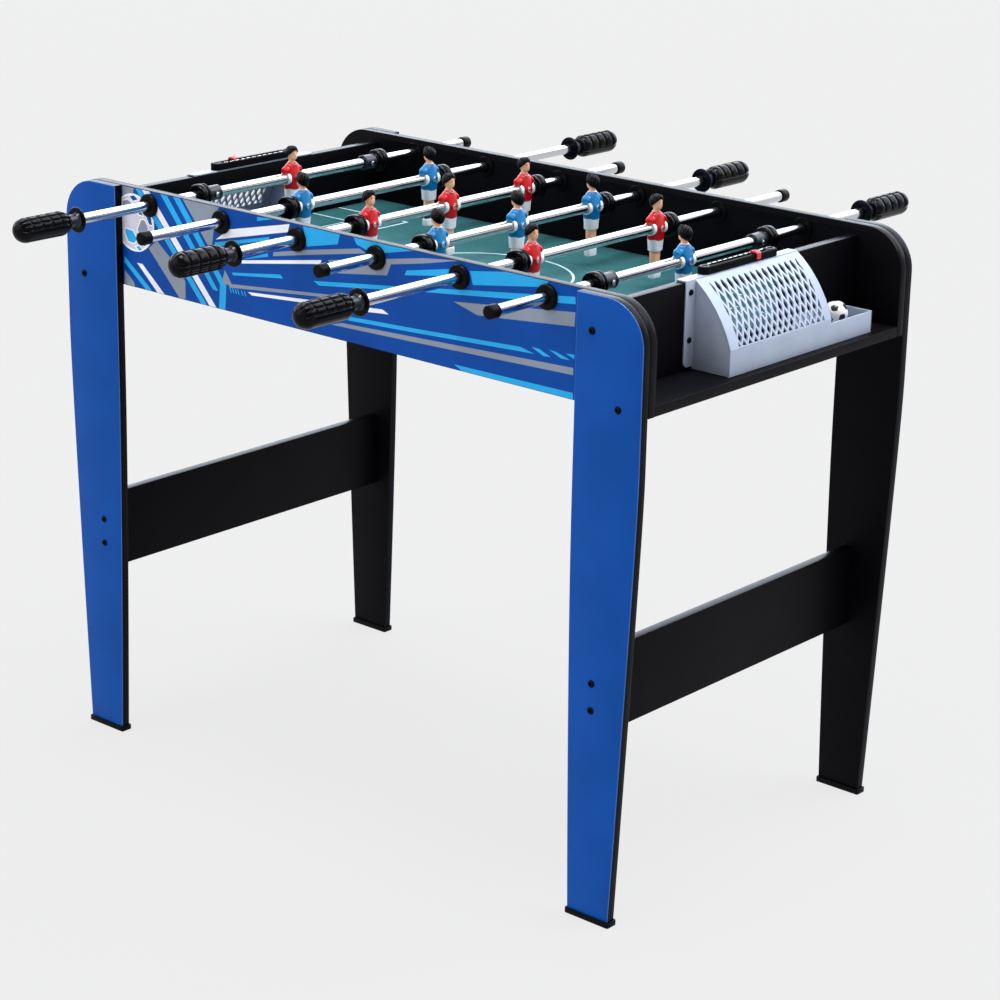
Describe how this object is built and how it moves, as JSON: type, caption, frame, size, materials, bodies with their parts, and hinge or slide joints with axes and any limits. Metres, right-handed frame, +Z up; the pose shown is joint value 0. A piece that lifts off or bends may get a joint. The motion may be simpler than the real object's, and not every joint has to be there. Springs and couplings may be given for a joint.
{
  "type": "foosball table",
  "caption": "Foosball table on board legs, with sliding and spinning player rods, net-fronted goal boxes with ball trays, and bead score rails.",
  "frame": {"origin": "on the floor, under the centre of the table", "axes": "+X along the table's length from the red goal to the blue goal, +Y to the back (the red players' handles are at -Y), +Z up"},
  "size_m": [0.92, 0.999, 0.7495],
  "materials": {
    "black_board": "satin black laminate over fibreboard",
    "printed_board": "satin printed blue laminate over fibreboard",
    "green_field": "glossy printed green laminate on thin fibreboard",
    "black_plastic": "moulded, satin",
    "grey_plastic": "moulded, satin",
    "red_plastic": "moulded, glossy",
    "chrome_tube": "polished chrome plate on steel tube",
    "rubber": "matt moulded rubber",
    "red_player": "moulded and painted",
    "blue_player": "moulded and painted",
    "ball_white": "moulded, with black printed patches"
  },
  "bodies": {
    "table": {"front_side_panel": "printed_board", "back_side_panel": "printed_board", "right_end_wall": "black_board", "left_end_wall": "black_board", "playing_field": "green_field", "bottom_board": "black_board", "front_left_leg": "printed_board", "front_left_foot_cap": "black_plastic", "front_right_leg": "printed_board", "front_right_foot_cap": "black_plastic", "back_left_leg": "printed_board", "back_left_foot_cap": "black_plastic", "back_right_leg": "printed_board", "back_right_foot_cap": "black_plastic", "left_stretcher": "black_board", "left_goal_box": "grey_plastic", "left_score_rail": "black_plastic", "right_stretcher": "black_board", "right_goal_box": "grey_plastic", "right_score_rail": "black_plastic"},
    "left_score_bead": {"left_score_bead": "red_plastic"},
    "right_score_bead": {"right_score_bead": "red_plastic"},
    "ball": {"ball": "ball_white"},
    "red_goalie_bumpers": {"red_goalie_bumper_handle_side": "rubber", "red_goalie_bumper_end_side": "rubber"},
    "red_goalie_line": {"red_goalie_rod": "chrome_tube", "red_goalie_handle": "black_plastic", "red_goalie_player_1": "red_player"},
    "blue_forward_bumpers": {"blue_forward_bumper_handle_side": "rubber", "blue_forward_bumper_end_side": "rubber"},
    "blue_forward_line": {"blue_forward_rod": "chrome_tube", "blue_forward_handle": "black_plastic", "blue_forward_player_1": "blue_player", "blue_forward_player_2": "blue_player"},
    "red_midfield_bumpers": {"red_midfield_bumper_handle_side": "rubber", "red_midfield_bumper_end_side": "rubber"},
    "red_midfield_line": {"red_midfield_rod": "chrome_tube", "red_midfield_handle": "black_plastic", "red_midfield_player_1": "red_player", "red_midfield_player_2": "red_player", "red_midfield_player_3": "red_player"},
    "blue_midfield_bumpers": {"blue_midfield_bumper_handle_side": "rubber", "blue_midfield_bumper_end_side": "rubber"},
    "blue_midfield_line": {"blue_midfield_rod": "chrome_tube", "blue_midfield_handle": "black_plastic", "blue_midfield_player_1": "blue_player", "blue_midfield_player_2": "blue_player", "blue_midfield_player_3": "blue_player"},
    "red_forward_bumpers": {"red_forward_bumper_handle_side": "rubber", "red_forward_bumper_end_side": "rubber"},
    "red_forward_line": {"red_forward_rod": "chrome_tube", "red_forward_handle": "black_plastic", "red_forward_player_1": "red_player", "red_forward_player_2": "red_player"},
    "blue_goalie_bumpers": {"blue_goalie_bumper_handle_side": "rubber", "blue_goalie_bumper_end_side": "rubber"},
    "blue_goalie_line": {"blue_goalie_rod": "chrome_tube", "blue_goalie_handle": "black_plastic", "blue_goalie_player_1": "blue_player"}
  },
  "joints": [
    {"name": "left_score_slide", "type": "slide", "parent": "table", "child": "left_score_bead", "axis": [0, 1, 0], "range_m": [-0.0175, 0.0775]},
    {"name": "right_score_slide", "type": "slide", "parent": "table", "child": "right_score_bead", "axis": [0, 1, 0], "range_m": [-0.0755, 0.0195]},
    {"name": "ball_roll", "type": "slide", "parent": "table", "child": "ball", "axis": [0, 1, 0], "range_m": [-0.2335, 0.0105]},
    {"name": "red_goalie_slide", "type": "slide", "parent": "table", "child": "red_goalie_bumpers", "axis": [0, 1, 0], "range_m": [-0.062, 0.062]},
    {"name": "red_goalie_spin", "type": "hinge", "parent": "red_goalie_bumpers", "child": "red_goalie_line", "pos_m": [-0.3175, 0, 0.71], "axis": [0, 1, 0], "continuous": true},
    {"name": "blue_forward_slide", "type": "slide", "parent": "table", "child": "blue_forward_bumpers", "axis": [0, 1, 0], "range_m": [-0.091, 0.077]},
    {"name": "blue_forward_spin", "type": "hinge", "parent": "blue_forward_bumpers", "child": "blue_forward_line", "pos_m": [-0.1905, 0, 0.71], "axis": [0, 1, 0], "continuous": true},
    {"name": "red_midfield_slide", "type": "slide", "parent": "table", "child": "red_midfield_bumpers", "axis": [0, 1, 0], "range_m": [-0.076, 0.038]},
    {"name": "red_midfield_spin", "type": "hinge", "parent": "red_midfield_bumpers", "child": "red_midfield_line", "pos_m": [-0.0635, 0, 0.71], "axis": [0, 1, 0], "continuous": true},
    {"name": "blue_midfield_slide", "type": "slide", "parent": "table", "child": "blue_midfield_bumpers", "axis": [0, 1, 0], "range_m": [-0.057, 0.057]},
    {"name": "blue_midfield_spin", "type": "hinge", "parent": "blue_midfield_bumpers", "child": "blue_midfield_line", "pos_m": [0.0635, 0, 0.71], "axis": [0, 1, 0], "continuous": true},
    {"name": "red_forward_slide", "type": "slide", "parent": "table", "child": "red_forward_bumpers", "axis": [0, 1, 0], "range_m": [-0.077, 0.091]},
    {"name": "red_forward_spin", "type": "hinge", "parent": "red_forward_bumpers", "child": "red_forward_line", "pos_m": [0.1905, 0, 0.71], "axis": [0, 1, 0], "continuous": true},
    {"name": "blue_goalie_slide", "type": "slide", "parent": "table", "child": "blue_goalie_bumpers", "axis": [0, 1, 0], "range_m": [-0.059, 0.065]},
    {"name": "blue_goalie_spin", "type": "hinge", "parent": "blue_goalie_bumpers", "child": "blue_goalie_line", "pos_m": [0.3175, 0, 0.71], "axis": [0, 1, 0], "continuous": true}
  ]
}
